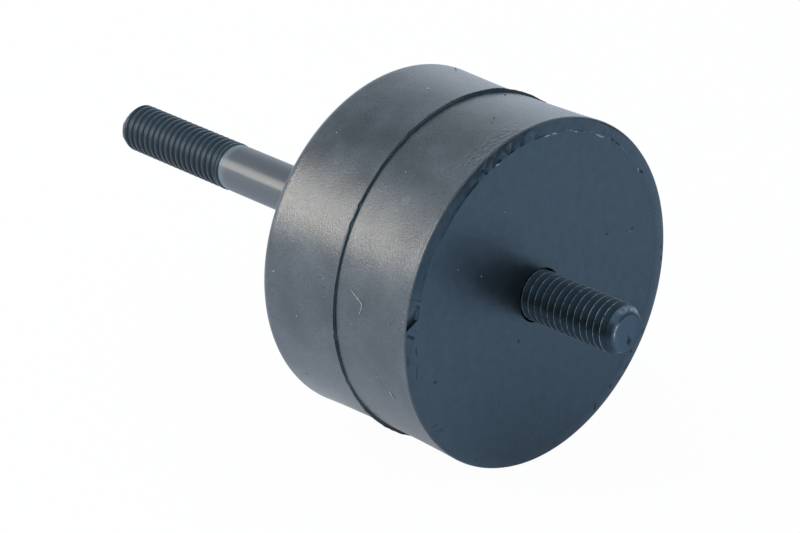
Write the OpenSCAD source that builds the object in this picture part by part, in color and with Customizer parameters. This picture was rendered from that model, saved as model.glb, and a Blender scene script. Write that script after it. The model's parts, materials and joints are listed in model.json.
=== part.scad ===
// Cylindrical rubber engine mount with a threaded stud at each end.
// A rubber block is moulded round two steel plates, and a hex-head screw stands out of
// each plate, with its head buried in the rubber behind the plate.
// The axis runs along X. The front seat face lies in the plane x = 0, the short stud
// points to +X and the long one to -X. The mount lies on its side, with +Z up.
// All sizes are in millimetres.

/* [Rubber block] */
// Diameter of the block at its rims
block_d = 66; // [50:0.5:90]
// Distance between the front and the rear seat face
block_h = 38; // [30:0.5:60]
// Distance of the mould's parting line behind the front seat face
parting_x = 18.3; // [14:0.1:22]
// Depth of the shallow waist between the front rim and the rounded rear edge
waist_depth = 0.4; // [0.1:0.05:1.5]
// Radius of the rounded rear edge
rear_edge_r = 1.5; // [0.5:0.1:1.8]
// Width of the rubber lip that holds the rim of each plate
lip_w = 2.5; // [2:0.1:5]

/* [Moulding flash] */
// Height that the flash on the parting line stands out of the rims' diameter
flash_h = 0.25; // [0.1:0.05:1]
// Thickness of the flash at its edge
flash_tip_t = 0.3; // [0.2:0.05:0.6]
// Thickness of the flash at its root
flash_root_t = 0.7; // [0.6:0.05:1.5]

/* [Plates] */
// Thickness of each steel plate
plate_t = 4; // [2.5:0.1:6]
// Gap between the screw thread and its hole in the plate, all round
hole_gap = 0.5; // [0.2:0.05:1]

/* [Screws] */
// Outside diameter of the thread
thread_d = 9.525; // [8:0.025:11]
// Height that the thread stands out of the plain shank, on the radius
thread_rise = 0.14; // [0.05:0.01:0.4]
// Length of the shallow neck between the plain shank and the thread
runout_l = 0.8; // [0.6:0.1:2.4]
// Depth of that neck under the plain shank, on the radius
runout_depth = 0.22; // [0.05:0.01:0.5]
// Length of the chamfer at the tip
tip_l = 1.8; // [0.8:0.1:2.5]
// Depth of the chamfer at the tip, on the radius
tip_depth = 1.05; // [0.5:0.05:1.5]
// Width of the hex head across its flats
head_af = 14.3; // [13:0.1:19]
// Height of the hex head
head_h = 6; // [4:0.1:8]

/* [Front stud] */
// Length of the front stud beyond the front seat face, all of it threaded
front_l = 21.5; // [12:0.5:60]

/* [Rear stud] */
// Length of the rear stud beyond the rear seat face
rear_l = 75.5; // [50:0.5:120]
// Length of the thread on the rear stud, with its tip chamfer
rear_thread_l = 30.2; // [15:0.1:45]

/* [Hidden] */

// Facets of each full circle
$fn = 180;
// Reach of a cutting shape past the face that it opens
past = 1;

block_r = block_d / 2;
plate_d = block_d - 2 * lip_w;
hole_d = thread_d + 2 * hole_gap;
shank_d = thread_d - 2 * thread_rise;
rear_x = -block_h;
// A hexagon's width across its corners, from its width across flats
head_corner_d = head_af / cos(30);

// Radius of an arc from its chord and the height that it rises over the chord
function arc_radius(chord, rise) = (chord * chord / 4 + rise * rise) / (2 * rise);

// Turns a shape made along +Z so that it runs along +X from a point on the axis
module along_x(x) {
    translate([x, 0, 0]) rotate([0, 90, 0]) children();
}

// The same, running along -X
module along_minus_x(x) {
    translate([x, 0, 0]) rotate([0, -90, 0]) children();
}

// Half-section of the shallow waist that the side has between its two rims
module waist_cut() {
    chord = block_h - rear_edge_r;
    r = arc_radius(chord, waist_depth);
    translate([block_r + r - waist_depth, -chord / 2]) circle(r, $fn = 720);
}

// Half-section of the corner that the rounded rear edge leaves out
module rear_edge_cut() {
    translate([block_r - rear_edge_r, rear_x + rear_edge_r]) difference() {
        translate([0, -rear_edge_r - past]) square(rear_edge_r + past);
        circle(rear_edge_r);
    }
}

// Half-section of the fin that the mould leaves on the parting line
module flash_fin() {
    root_r = block_r - waist_depth - past;
    tip_r = block_r + flash_h;
    translate([0, -parting_x]) polygon([
        [root_r, -flash_root_t / 2],
        [tip_r, -flash_tip_t / 2],
        [tip_r, flash_tip_t / 2],
        [root_r, flash_root_t / 2]
    ]);
}

// Half-section of the moulded block, with the axis upright and the front face at the top
module block_section() {
    difference() {
        translate([0, rear_x]) square([block_r, block_h]);
        waist_cut();
        rear_edge_cut();
    }
    flash_fin();
}

// Head of a screw, on the far side of the bearing face at z = 0
module hex_head() {
    translate([0, 0, -head_h]) cylinder(d = head_corner_d, h = head_h, $fn = 6);
}

// A screw along +Z, with its head's bearing face at z = 0
module screw(length, thread_l) {
    thread_z = length - thread_l;
    hex_head();
    rotate_extrude() polygon([
        [0, -head_h / 2],
        [shank_d / 2, -head_h / 2],
        [shank_d / 2, thread_z - runout_l],
        [shank_d / 2 - runout_depth, thread_z - runout_l / 2],
        [thread_d / 2, thread_z],
        [thread_d / 2, length - tip_l],
        [thread_d / 2 - tip_depth, length],
        [0, length]
    ]);
}

// A round plate along +Z from z = 0, with the screw's hole through it
module plate() {
    difference() {
        cylinder(d = plate_d, h = plate_t);
        translate([0, 0, -past]) cylinder(d = hole_d, h = plate_t + 2 * past);
    }
}

// The moulded rubber, with a recess at each end for the plate and the screw's head
module rubber_block() {
    color("#4b555e") difference() {
        along_x(0) rotate_extrude() block_section();
        along_x(-plate_t) cylinder(d = plate_d, h = plate_t + past);
        along_x(-plate_t) hex_head();
        along_minus_x(rear_x + plate_t) cylinder(d = plate_d, h = plate_t + past);
        along_minus_x(rear_x + plate_t) hex_head();
    }
}

module front_plate() {
    color("#3c4c5c") along_x(-plate_t) plate();
}

module rear_plate() {
    color("#3c4c5c") along_minus_x(rear_x + plate_t) plate();
}

// Threaded over its whole free length: the neck lies inside the plate
module front_stud() {
    color("#2b3a46") along_x(-plate_t) screw(plate_t + front_l, front_l);
}

// Plain shank from the head, threaded at its end
module rear_stud() {
    color("#2b3a46") along_minus_x(rear_x + plate_t) screw(plate_t + rear_l, rear_thread_l);
}

rubber_block();
front_plate();
rear_plate();
front_stud();
rear_stud();
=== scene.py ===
"""The looks of a cylindrical rubber engine mount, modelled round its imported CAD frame.

A moulded rubber block, two coated end plates and two threaded studs stand for the plain
CAD solids, at the same places and sizes. The axis runs along X and the short stud points
to +X. Lengths are in metres, angles about the axis run from +Y towards +Z.
"""
import json
import math

import bpy
from bpy.props import FloatProperty, FloatVectorProperty, IntProperty, PointerProperty
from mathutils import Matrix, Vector


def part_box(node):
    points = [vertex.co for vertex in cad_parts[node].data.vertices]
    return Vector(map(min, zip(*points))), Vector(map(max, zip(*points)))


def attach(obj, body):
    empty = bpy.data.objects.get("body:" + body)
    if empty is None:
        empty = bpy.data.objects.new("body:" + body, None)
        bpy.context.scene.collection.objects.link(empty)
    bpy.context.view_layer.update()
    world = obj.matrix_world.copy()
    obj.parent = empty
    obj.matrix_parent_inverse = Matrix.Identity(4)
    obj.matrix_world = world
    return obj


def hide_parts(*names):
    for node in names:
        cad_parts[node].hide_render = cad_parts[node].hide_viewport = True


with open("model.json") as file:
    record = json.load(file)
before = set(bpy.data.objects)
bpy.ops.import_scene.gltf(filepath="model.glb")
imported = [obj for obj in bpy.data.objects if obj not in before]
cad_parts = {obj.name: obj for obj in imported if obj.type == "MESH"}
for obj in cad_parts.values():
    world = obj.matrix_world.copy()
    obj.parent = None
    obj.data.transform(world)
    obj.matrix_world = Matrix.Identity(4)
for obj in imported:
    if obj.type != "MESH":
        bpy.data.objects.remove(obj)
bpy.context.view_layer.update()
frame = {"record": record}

bl_info = {
    "name": "Rubber engine mount",
    "version": (1, 0, 0),
    "blender": (4, 5, 0),
    "location": "View3D > Sidebar > Mount",
    "description": "Models and dresses a rubber engine mount with a stud at each end",
    "category": "Add Mesh",
}

MM = 0.001

# Places and sizes that the frame gives
MOUNTS = {mount["name"]: mount for mount in frame["record"]["mounts"]}
BLOCK_LOW, BLOCK_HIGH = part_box("rubber_block")
PLATE_LOW, PLATE_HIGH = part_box("front_plate")
FRONT_LOW, FRONT_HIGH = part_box("front_stud")
REAR_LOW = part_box("rear_stud")[0]
REAR_X = BLOCK_LOW.x
PLATE_R = PLATE_HIGH.y
PLATE_T = PLATE_HIGH.x - PLATE_LOW.x
THREAD_R = MOUNTS["front_stud"]["dims"]["r_mm"] * MM
FRONT_LENGTH = FRONT_HIGH.x
TIP_LENGTH = FRONT_LENGTH - MOUNTS["front_stud"]["dims"]["length_mm"] * MM
REAR_LENGTH = REAR_X - REAR_LOW.x
REAR_THREAD = MOUNTS["rear_stud"]["dims"]["length_mm"] * MM + TIP_LENGTH
HEAD_CORNER_R = FRONT_HIGH.z
HEAD_HEIGHT = PLATE_LOW.x - FRONT_LOW.x

# Vertices closer than this are one vertex
WELD = 0.001 * MM


def linear(code):
    """Turns an sRGB hex colour into linear red, green, blue and alpha."""
    shares = [int(code[place:place + 2], 16) / 255 for place in (1, 3, 5)]
    return tuple(s / 12.92 if s <= 0.04045 else ((s + 0.055) / 1.055) ** 2.4 for s in shares) + (1.0,)


def length_setting(name, description, millimetres):
    """A length that a user can change, with its default in millimetres."""
    return FloatProperty(
        name=name, description=description, default=millimetres * MM, precision=5, unit="LENGTH"
    )


def angle_setting(name, description, degrees):
    """An angle that a user can change, with its default in degrees."""
    return FloatProperty(
        name=name, description=description, default=math.radians(degrees), subtype="ANGLE"
    )


def number_setting(name, description, value):
    """A plain number that a user can change."""
    return FloatProperty(name=name, description=description, default=value)


def steps_setting(name, description, count):
    """A number of steps round the axis that a user can change."""
    return IntProperty(name=name, description=description, default=count)


def colour_setting(name, description, code):
    """A colour that a user can change, with its default as an sRGB hex value."""
    return FloatVectorProperty(
        name=name, description=description, default=linear(code), size=4, min=0, max=1, subtype="COLOR"
    )


class BlockSettings(bpy.types.PropertyGroup):
    """Sizes of the moulded rubber block."""

    steps: steps_setting("Steps", "Steps of the block round its axis", 440)
    parting: length_setting("Parting line", "Distance of the parting line behind the front face", 18.65)
    waist: length_setting("Waist", "Depth of the waist between the two rims", 0.4)
    flash: length_setting("Flash", "Height of the flash over the rims", 0.25)
    flash_thick: length_setting("Flash thickness", "Thickness of the flash at its edge", 0.13)
    crease: length_setting("Crease", "Depth of the crease in front of the flash", 0.06)
    rim: length_setting("Front rim", "Radius of the front rim's edge", 0.35)
    rear_edge: length_setting("Rear edge", "Radius of the rounded rear edge", 1.5)
    crown: length_setting("Crown", "How far the front lip falls off towards its rim", 0.22)
    film: length_setting("Film", "Width of the rubber film that has crept over the plate", 0.4)
    film_thick: length_setting("Film thickness", "Thickness of that film", 0.012)
    torn: length_setting("Tear", "Depth to which the skin of the lip is torn off", 0.2)
    grain: length_setting("Grain", "Size of the grain that the mould leaves on the skin", 0.26)


class PlateSettings(bpy.types.PropertyGroup):
    """Sizes of the end plates."""

    steps: steps_setting("Steps", "Steps of a plate round its axis", 240)
    hole_gap: length_setting("Hole gap", "Gap between the thread and the coat in its hole", 0.3)
    edge: length_setting("Edge", "Width of the broken edge of the hole", 0.12)
    ring: length_setting("Ring width", "Width of the rings that a plate's face is made of", 1.05)
    wave: length_setting("Wave", "Unevenness of the coat on the face", 0.03)
    pit: length_setting("Pit", "Depth of the pits in the coat", 0.25)


class StudSettings(bpy.types.PropertyGroup):
    """Sizes of the studs and of their thread."""

    steps: steps_setting("Steps", "Steps of the thread in one turn", 72)
    tip_steps: steps_setting("Tip steps", "Steps of the tip round its axis", 120)
    shank_steps: steps_setting("Shank steps", "Steps of the shank round its axis", 96)
    pitch: length_setting("Pitch", "Distance from crest to crest", 25.4 / 16)
    depth: length_setting("Depth", "Depth of the thread on the radius", 0.95)
    crest: length_setting("Crest", "Width of the rounded crest", 0.16)
    crest_round: length_setting("Crest rounding", "Height over which the crest is rounded", 0.06)
    wide_crest: length_setting("Wide crest", "Width of the crest on the long stud", 0.95)
    wide_round: length_setting("Wide rounding", "Height of the rounding on the long stud", 0.24)
    shallow: length_setting("Shallow depth", "Depth of the thread on the long stud", 0.44)
    root: length_setting("Root", "Width of the rounded root", 0.3)
    shank_drop: length_setting("Shank drop", "How far the plain shank lies under the crests", 0.14)
    runout: length_setting("Run-out", "Length of the neck between the shank and the thread", 0.8)
    neck: length_setting("Neck", "Depth of that neck under the shank", 0.12)
    band: length_setting("Band", "Length of the paler band at the end of the shank", 1.5)
    tip_depth: length_setting("Tip depth", "Depth of the chamfer at the tip on the radius", 1.05)
    cup: length_setting("Cup", "Depth of the hollow in the end of a stud", 0.35)
    head_edge: length_setting("Head edge", "Width of the bevel on a screw head", 0.4)


class FinishSettings(bpy.types.PropertyGroup):
    """Colours of the finishes."""

    rubber: colour_setting("Rubber", "Moulded rubber", "#363e45")
    bloom: colour_setting("Bloom", "Grey bloom on the rubber", "#444d55")
    # Also the painted shade in the lip's dents, notch and deeper tears, and in the pits of the plate and
    # of the rubber's grain
    torn: colour_setting("Torn rubber", "Rubber where its skin is torn off", "#151a1c")
    # Painted shade on the flanks and in the crease of the flash, with the darker tone of its torn edge
    fin: colour_setting("Flash", "Ragged edge and root of the flash", "#27383f")
    coat: colour_setting("Bonding coat", "Coat on the plates", "#0c0c0b")
    coat_worn: colour_setting("Worn coat", "Rubbed places of the coat", "#15191b")
    # Painted glints along the film's edge and on the tip's rim
    glint: colour_setting("Dried film", "Dried edge of the film on the plate", "#aab4ba")
    phosphate: colour_setting("Phosphate", "Phosphated thread of the short stud", "#0c1417")
    # Crests rubbed grey, partly a painted highlight that is stronger on top
    crest: colour_setting("Worn crest", "Rubbed coat on its crests", "#77848c")
    grey: colour_setting("Grey phosphate", "Phosphated thread of the long stud", "#20282e")
    grey_crest: colour_setting("Worn grey crest", "Rubbed coat on its crests", "#262f36")
    # Paler, bluer end, painted as a painted reflection
    cut: colour_setting("Cut end", "Cut end of a stud", "#3f4f5e")
    shank: colour_setting("Shank", "Phosphated plain shank", "#484e55")
    shank_dark: colour_setting("Dark shank", "Darker marks along the shank", "#40464c")
    band: colour_setting("Shank's end", "Paler band at the end of the shank", "#58636e")
    # Painted light: the lighter, bluer tone laid on top of the threads, and at their lower left as a
    # painted reflection of the floor
    film: colour_setting("Dust film", "Film of dust on a thread", "#2a3a44")
    dust_and_light: colour_setting("Dust", "Lint and specks of dust", "#a6adb2")
    floor: colour_setting("Floor", "Pale floor", "#e2eaf8")
    coat_sheen: colour_setting("Coat's sheen", "Tint of the sheen on the plates", "#b0dbf9")
    thread_sheen: colour_setting("Thread's sheen", "Tint of the sheen on the threads", "#d2e6f2")


class StageSettings(bpy.types.PropertyGroup):
    """Camera and light."""

    azimuth: angle_setting("Azimuth", "Turn of the camera", 46.64)
    elevation: angle_setting("Elevation", "Height of the camera", 23.91)
    distance: length_setting("Distance", "Camera's distance from the front face", 608.4)
    aside: length_setting("Aside", "How far the camera stands to the left of the axis", 25.0)
    above: length_setting("Above", "How far the camera stands above the axis", 5.1)
    lens: number_setting("Lens", "Focal length in millimetres", 153.1)
    floor: length_setting("Floor", "Width of the floor", 6000)
    white: number_setting("White", "Share of plain white in the floor as seen", 0.97)
    mirrored: number_setting("Mirrored", "Share of plain white in the floor as mirrored", 0.18)
    cool: colour_setting("Cool light", "Colour of the surroundings", "#e8f4ff")
    level: number_setting("Level", "Light of the surroundings", 0.92)
    tent: number_setting("Tent", "Light at the height of the walls as mirrored", 1.3)
    ceiling: number_setting("Ceiling", "Light overhead as mirrored", 0.4)
    lamp_turn: angle_setting("Lamp turn", "Turn of the lamp from the left to the rear", 33.5)
    lamp_tilt: angle_setting("Lamp tilt", "Height of the lamp", 28)
    lamp_distance: length_setting("Lamp distance", "Distance of the lamp from the block", 1200)
    lamp_width: length_setting("Lamp width", "Width of the lamp", 260)
    lamp_height: length_setting("Lamp height", "Height of the lamp", 700)
    lamp_power: number_setting("Lamp power", "Power of the lamp in watts", 11.0)
    lamp_colour: FloatVectorProperty(
        name="Lamp colour", description="Warm colour of the lamp",
        default=(1.0, 0.9, 0.77), subtype="COLOR",
    )


# Modelling


def open_edit():
    """Opens edit mode with nothing selected, working on vertices."""
    bpy.ops.object.mode_set(mode="EDIT")
    bpy.ops.mesh.select_mode(type="VERT")
    bpy.ops.mesh.select_all(action="DESELECT")


def close_edit():
    """Goes back to object mode."""
    bpy.ops.object.mode_set(mode="OBJECT")


def pick(piece):
    """Makes a piece the only selected object and the active one."""
    bpy.ops.object.select_all(action="DESELECT")
    piece.select_set(True)
    bpy.context.view_layer.objects.active = piece


def weld():
    """Merges the vertices that coincide and turns the faces outwards."""
    bpy.ops.mesh.select_all(action="SELECT")
    bpy.ops.mesh.remove_doubles(threshold=WELD)
    bpy.ops.mesh.select_all(action="SELECT")
    bpy.ops.mesh.normals_make_consistent(inside=False)


def draw_section(name, points):
    """Draws a half-section as a chain of edges, and leaves edit mode open.

    A small plane is merged to one vertex, which is extruded from point to point. Each
    point is its place along the axis and its distance from the axis.
    """
    bpy.ops.mesh.primitive_plane_add(size=MM)
    piece = bpy.context.object
    piece.name = name
    piece.data.name = name
    open_edit()
    bpy.ops.mesh.select_all(action="SELECT")
    bpy.ops.mesh.merge(type="CENTER")
    pen = Vector()
    for index, (x, r) in enumerate(points):
        step = Vector((x, 0, r)) - pen
        if index == 0:
            bpy.ops.transform.translate(value=step)
        else:
            bpy.ops.mesh.extrude_vertices_move(TRANSFORM_OT_translate={"value": step})
        pen += step
    return piece


def turned(name, points, steps):
    """Makes a turned piece: a half-section, spun once round the axis."""
    piece = draw_section(name, points)
    bpy.ops.mesh.select_all(action="SELECT")
    bpy.ops.mesh.spin(steps=steps, angle=math.tau, center=(0, 0, 0), axis=(1, 0, 0))
    weld()
    close_edit()
    return piece


def apply_modifier(piece, kind, **settings):
    """Adds a modifier with its settings and applies it."""
    pick(piece)
    modifier = piece.modifiers.new(kind.lower(), kind)
    for key, value in settings.items():
        setattr(modifier, key, value)
    bpy.ops.object.modifier_apply(modifier=modifier.name)


def combine(piece, operation, other):
    """Unites a piece with another, cuts it by the other or keeps what both share."""
    apply_modifier(piece, "BOOLEAN", operation=operation, solver="EXACT", object=other)
    bpy.data.objects.remove(other)


def polar(place):
    """A point's place along the axis, its distance from the axis and its angle in degrees."""
    return place.x, math.hypot(place.y, place.z), math.degrees(math.atan2(place.z, place.y)) % 360


def select_where(piece, test):
    """Opens edit mode with the vertices selected whose place, radius and angle pass a test."""
    pick(piece)
    open_edit()
    close_edit()
    for vertex in piece.data.vertices:
        vertex.select = test(*polar(vertex.co))
    bpy.ops.object.mode_set(mode="EDIT")


def ease(value, low, high):
    """Rises smoothly from 0 at low to 1 at high, or falls where high is the lower one."""
    share = min(max((value - low) / (high - low), 0.0), 1.0)
    return share * share * (3 - 2 * share)


def within(value, low, full_low, full_high, high):
    """Rises from 0 at low to 1, stays there between the two full places, and falls to 0 at high."""
    return ease(value, low, full_low) * ease(value, high, full_high)


def weigh(piece, name, weight_at):
    """Makes a vertex group whose weights are worked out from place, radius and angle."""
    group = piece.vertex_groups.new(name=name)
    for vertex in piece.data.vertices:
        weight = weight_at(*polar(vertex.co))
        if weight > 0:
            group.add([vertex.index], weight, "REPLACE")


def roughen(piece, group, kind, grain, height, direction="NORMAL", middle=0.5, **settings):
    """Moves a vertex group in and out by a procedural texture of that grain and height."""
    texture = bpy.data.textures.new(group, type=kind)
    texture.noise_scale = grain
    if kind == "VORONOI":
        # The second distance less the first makes flat cells with a groove between them
        texture.weight_1 = -1
        texture.weight_2 = 1
        texture.noise_intensity = 16
    choices = {"texture_coords": "LOCAL"}
    choices.update(settings)
    apply_modifier(
        piece, "DISPLACE", texture=texture, vertex_group=group, strength=height, mid_level=middle,
        direction=direction, **choices,
    )
    bpy.data.textures.remove(texture)


def push(piece, group, distance):
    """Moves a vertex group by its weights along the axis."""
    apply_modifier(
        piece, "DISPLACE", vertex_group=group, strength=distance, mid_level=0, direction="X"
    )


def paint(piece, name, value_at):
    """Stores a value from 0 to 1 at each vertex, for the finish to read."""
    layer = piece.data.attributes.new(name, "FLOAT", "POINT")
    layer.data.foreach_set("value", [value_at(*polar(vertex.co)) for vertex in piece.data.vertices])


def refine(piece, cuts, test):
    """Subdivides the faces whose vertices all pass a test of place, radius and angle."""
    select_where(piece, test)
    bpy.ops.mesh.subdivide(number_cuts=cuts)
    close_edit()


def turn_to_rear(piece):
    """Turns a piece that is made for the front end round to the rear end."""
    pick(piece)
    piece.rotation_euler.z = math.pi
    piece.location.x = REAR_X
    bpy.ops.object.transform_apply(location=True, rotation=True, scale=True)


def finish_piece(piece, node, smooth=40):
    """Shades a finished piece and puts it in the frame in place of its CAD node."""
    pick(piece)
    bpy.ops.object.shade_smooth_by_angle(angle=math.radians(smooth))
    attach(piece, "root")
    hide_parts(node)


# Finishes


def add_node(tree, kind, inputs=None, **settings):
    """Adds a shader node with its settings, and sets or links its inputs."""
    node = tree.nodes.new("ShaderNode" + kind)
    for name, value in settings.items():
        setattr(node, name, value)
    for name, value in (inputs or {}).items():
        if isinstance(value, bpy.types.NodeSocket):
            tree.links.new(value, node.inputs[name])
        else:
            node.inputs[name].default_value = value
    return node


def new_material(name):
    """Starts an empty material and returns it with its node tree."""
    material = bpy.data.materials.new(name)
    material.use_nodes = True
    material.node_tree.nodes.clear()
    return material, material.node_tree


def stored(tree, name):
    """A value that a piece stores at its vertices."""
    return add_node(tree, "Attribute", attribute_name=name).outputs["Fac"]


def noise(tree, place, grain, detail, **inputs):
    """A cloudy value whose features are about as large as this grain."""
    inputs.update({"Vector": place, "Scale": 1 / grain, "Detail": detail})
    return add_node(tree, "TexNoise", inputs).outputs["Fac"]


def spread(tree, value, low, high, to_low=0.0, to_high=1.0):
    """Stretches a value from one range to another, and holds it inside that."""
    limits = {"From Min": low, "From Max": high, "To Min": to_low, "To Max": to_high}
    return add_node(tree, "MapRange", {"Value": value, **limits}).outputs["Result"]


def blend(tree, share, first, second):
    """Mixes two colours: the first where the share is 0, the second where it is 1."""
    return add_node(tree, "Mix", {0: share, 6: first, 7: second}, data_type="RGBA").outputs[2]


def times(tree, first, second):
    """Multiplies two values."""
    return add_node(tree, "Math", {0: first, 1: second}, operation="MULTIPLY").outputs[0]


def lay_surface(tree, inputs):
    """Ends a material in one surface with these inputs."""
    shader = add_node(tree, "BsdfPrincipled", inputs)
    add_node(tree, "OutputMaterial", {"Surface": shader.outputs["BSDF"]})


def moulded_rubber(size, colours):
    """Moulded natural rubber: dark blue grey and satin, with a faint grey bloom.

    The mould leaves a fine grain that breaks up the highlight, and the grain's pits are painted darker
    as painted shade in their hollows. The flash is painted darker and dull: painted shade on its flanks
    and in its crease, with the darker tone of its torn edge.
    """
    material, tree = new_material("moulded_rubber")
    place = add_node(tree, "TexCoord").outputs["Object"]
    fin = stored(tree, "fin")
    grain = noise(tree, place, size.grain, 3.0)
    cloud = noise(tree, place, 7 * MM, 5.0)
    skin = blend(tree, spread(tree, cloud, 0.36, 0.64), colours.rubber, colours.bloom)
    # Painted shade: darker where the grain is low, in the hollows of its bump
    pit_shaded = blend(tree, spread(tree, grain, 0.52, 0.3, 0.0, 0.6), skin, colours.torn)
    sheen = spread(tree, cloud, 0.3, 0.7, 0.22, 0.28)
    # Where the flash's painted shade lies, the rubber is also rougher with less sheen, so it reads
    # darker
    rough = add_node(tree, "Mix", {0: fin, 2: sheen, 3: 0.7}, data_type="FLOAT")
    relief = add_node(tree, "Bump", {"Height": grain, "Strength": 0.8, "Distance": 0.055 * MM})
    lay_surface(tree, {
        "Base Color": blend(tree, fin, pit_shaded, colours.fin),
        "Roughness": rough.outputs[0],
        "IOR": 1.58,
        "Specular IOR Level": spread(tree, fin, 0.0, 1.0, 0.5, 0.28),
        "Normal": relief.outputs["Normal"],
    })
    return material


def bonding_coat(colours):
    """Bonding coat on the plate and on the lip round it: navy black, with a dull blue sheen.

    Where the lip's skin is torn off, the surface is darker and has less sheen, and painted shade darkens
    its dents, notch and deeper tears and the plate's pits; pale strokes along the film's edge are
    painted glints.
    """
    material, tree = new_material("bonding_coat")
    place = add_node(tree, "TexCoord").outputs["Object"]
    torn = stored(tree, "torn")
    cloud = noise(tree, place, 8 * MM, 6.0)
    grain = noise(tree, place, 2.2 * MM, 6.0, Roughness=0.62)
    coat = blend(tree, cloud, colours.coat, colours.coat_worn)
    # Painted glints along the film's edge
    glinting = blend(tree, stored(tree, "glint"), coat, colours.glint)
    sheen = spread(tree, cloud, 0.3, 0.7, 0.3, 0.4)
    rough = add_node(tree, "Mix", {0: torn, 2: sheen, 3: 0.55}, data_type="FLOAT")
    level = spread(tree, torn, 0.0, 1.0, 0.6, 0.2)
    mottle = spread(tree, grain, 0.3, 0.7, 0.9, 1.1)
    relief = add_node(tree, "Bump", {"Height": grain, "Strength": 0.4, "Distance": 0.15 * MM})
    lay_surface(tree, {
        "Base Color": blend(tree, torn, glinting, colours.torn),
        "Roughness": rough.outputs[0],
        "IOR": 1.8,
        "Specular IOR Level": times(tree, level, mottle),
        "Specular Tint": colours.coat_sheen,
        "Normal": relief.outputs["Normal"],
    })
    return material


def phosphated_thread(name, base, crest_colour, worn_depth, sheen, colours):
    """Rolled thread under a dark phosphate coat, rubbed grey in patches on the crests.

    The coat is slate coloured with a soft sheen, and the rubbed crests show as pale lines that are
    partly a painted highlight, stronger on top. The top of the thread is painted lighter and bluer as
    painted light from above, and its lower left as a painted reflection of the floor. The cut end is
    painted paler and bluer as a painted reflection, with painted shade in a seam and a dent, and a
    painted highlight on its rim.
    """
    material, tree = new_material(name)
    place = add_node(tree, "TexCoord").outputs["Object"]
    across = add_node(tree, "VectorMath", {0: place, 1: (0, 1, 1)}, operation="MULTIPLY")
    radius = add_node(tree, "VectorMath", {0: across.outputs[0]}, operation="LENGTH")
    crest = spread(tree, radius.outputs["Value"], THREAD_R - worn_depth, THREAD_R - 0.1 * worn_depth)
    patchy = spread(tree, noise(tree, place, 0.8 * MM, 4.0), 0.3, 0.65)
    # Painted light: lighter and bluer on top, as lit from above, and at the lower left as a painted
    # reflection of the floor; the rubbed crests are painted paler there too, a painted highlight
    dust_and_light = stored(tree, "dust_and_light")
    rubbed_and_lit = spread(tree, dust_and_light, 0.0, 1.0, 0.7, 1.2)
    worn_and_lit = times(tree, times(tree, crest, patchy), rubbed_and_lit)
    thread = blend(tree, worn_and_lit, blend(tree, dust_and_light, base, colours.film), crest_colour)
    # The cut end is painted paler and bluer as a painted reflection, with painted shade in its seam and
    # dent
    end = blend(tree, stored(tree, "cut"), thread, colours.cut)
    rim_glint = times(tree, stored(tree, "rim"), patchy)
    # Painted highlight: pale strokes on the tip's rim and cone where they catch the light
    lay_surface(tree, {
        "Base Color": blend(tree, rim_glint, end, colours.glint),
        "Roughness": 0.36,
        "IOR": 1.55,
        "Specular IOR Level": sheen,
        "Specular Tint": colours.thread_sheen,
    })
    return material


def phosphated_shank(colours):
    """Plain shank under a smooth grey phosphate coat: satin, with faint marks along it."""
    material, tree = new_material("phosphated_shank")
    place = add_node(tree, "TexCoord").outputs["Object"]
    long, thin = 1 / (9 * MM), 1 / (0.7 * MM)
    drawn = add_node(tree, "Mapping", {"Vector": place, "Scale": (long, thin, thin)})
    marks = noise(tree, drawn.outputs[0], 1.0, 4.0)
    grain = noise(tree, place, 0.4 * MM, 2.0)
    plain = blend(tree, marks, colours.shank_dark, colours.shank)
    relief = add_node(tree, "Bump", {"Height": grain, "Strength": 0.2, "Distance": 0.03 * MM})
    # Turning marks run round the shank, so its highlight stretches along the axis
    round_axis = add_node(tree, "Tangent", direction_type="RADIAL", axis="X")
    lay_surface(tree, {
        "Base Color": blend(tree, stored(tree, "band"), plain, colours.band),
        "Roughness": spread(tree, marks, 0.3, 0.7, 0.3, 0.36),
        "IOR": 1.7,
        "Anisotropic": 0.8,
        "Anisotropic Rotation": 0.25,
        "Tangent": round_axis.outputs["Tangent"],
        "Normal": relief.outputs["Normal"],
    })
    return material


def settled_dust(name, low, high):
    """What has settled on the rubber, pale lint or black crumbs: matt and a little uneven."""
    material, tree = new_material(name)
    place = add_node(tree, "TexCoord").outputs["Object"]
    share = spread(tree, noise(tree, place, 0.6 * MM, 2.0), 0.1, 0.6)
    lay_surface(tree, {"Base Color": blend(tree, share, low, high), "Roughness": 0.9})
    return material


def ray_share(tree, rays, share):
    """A value that is this share for the named kinds of ray and 0 for the others."""
    path = add_node(tree, "LightPath")
    value = path.outputs[rays[0]]
    for ray in rays[1:]:
        value = add_node(
            tree, "Math", {0: value, 1: path.outputs[ray]}, operation="MAXIMUM"
        ).outputs[0]
    return times(tree, value, share)


# The rubber block

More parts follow.
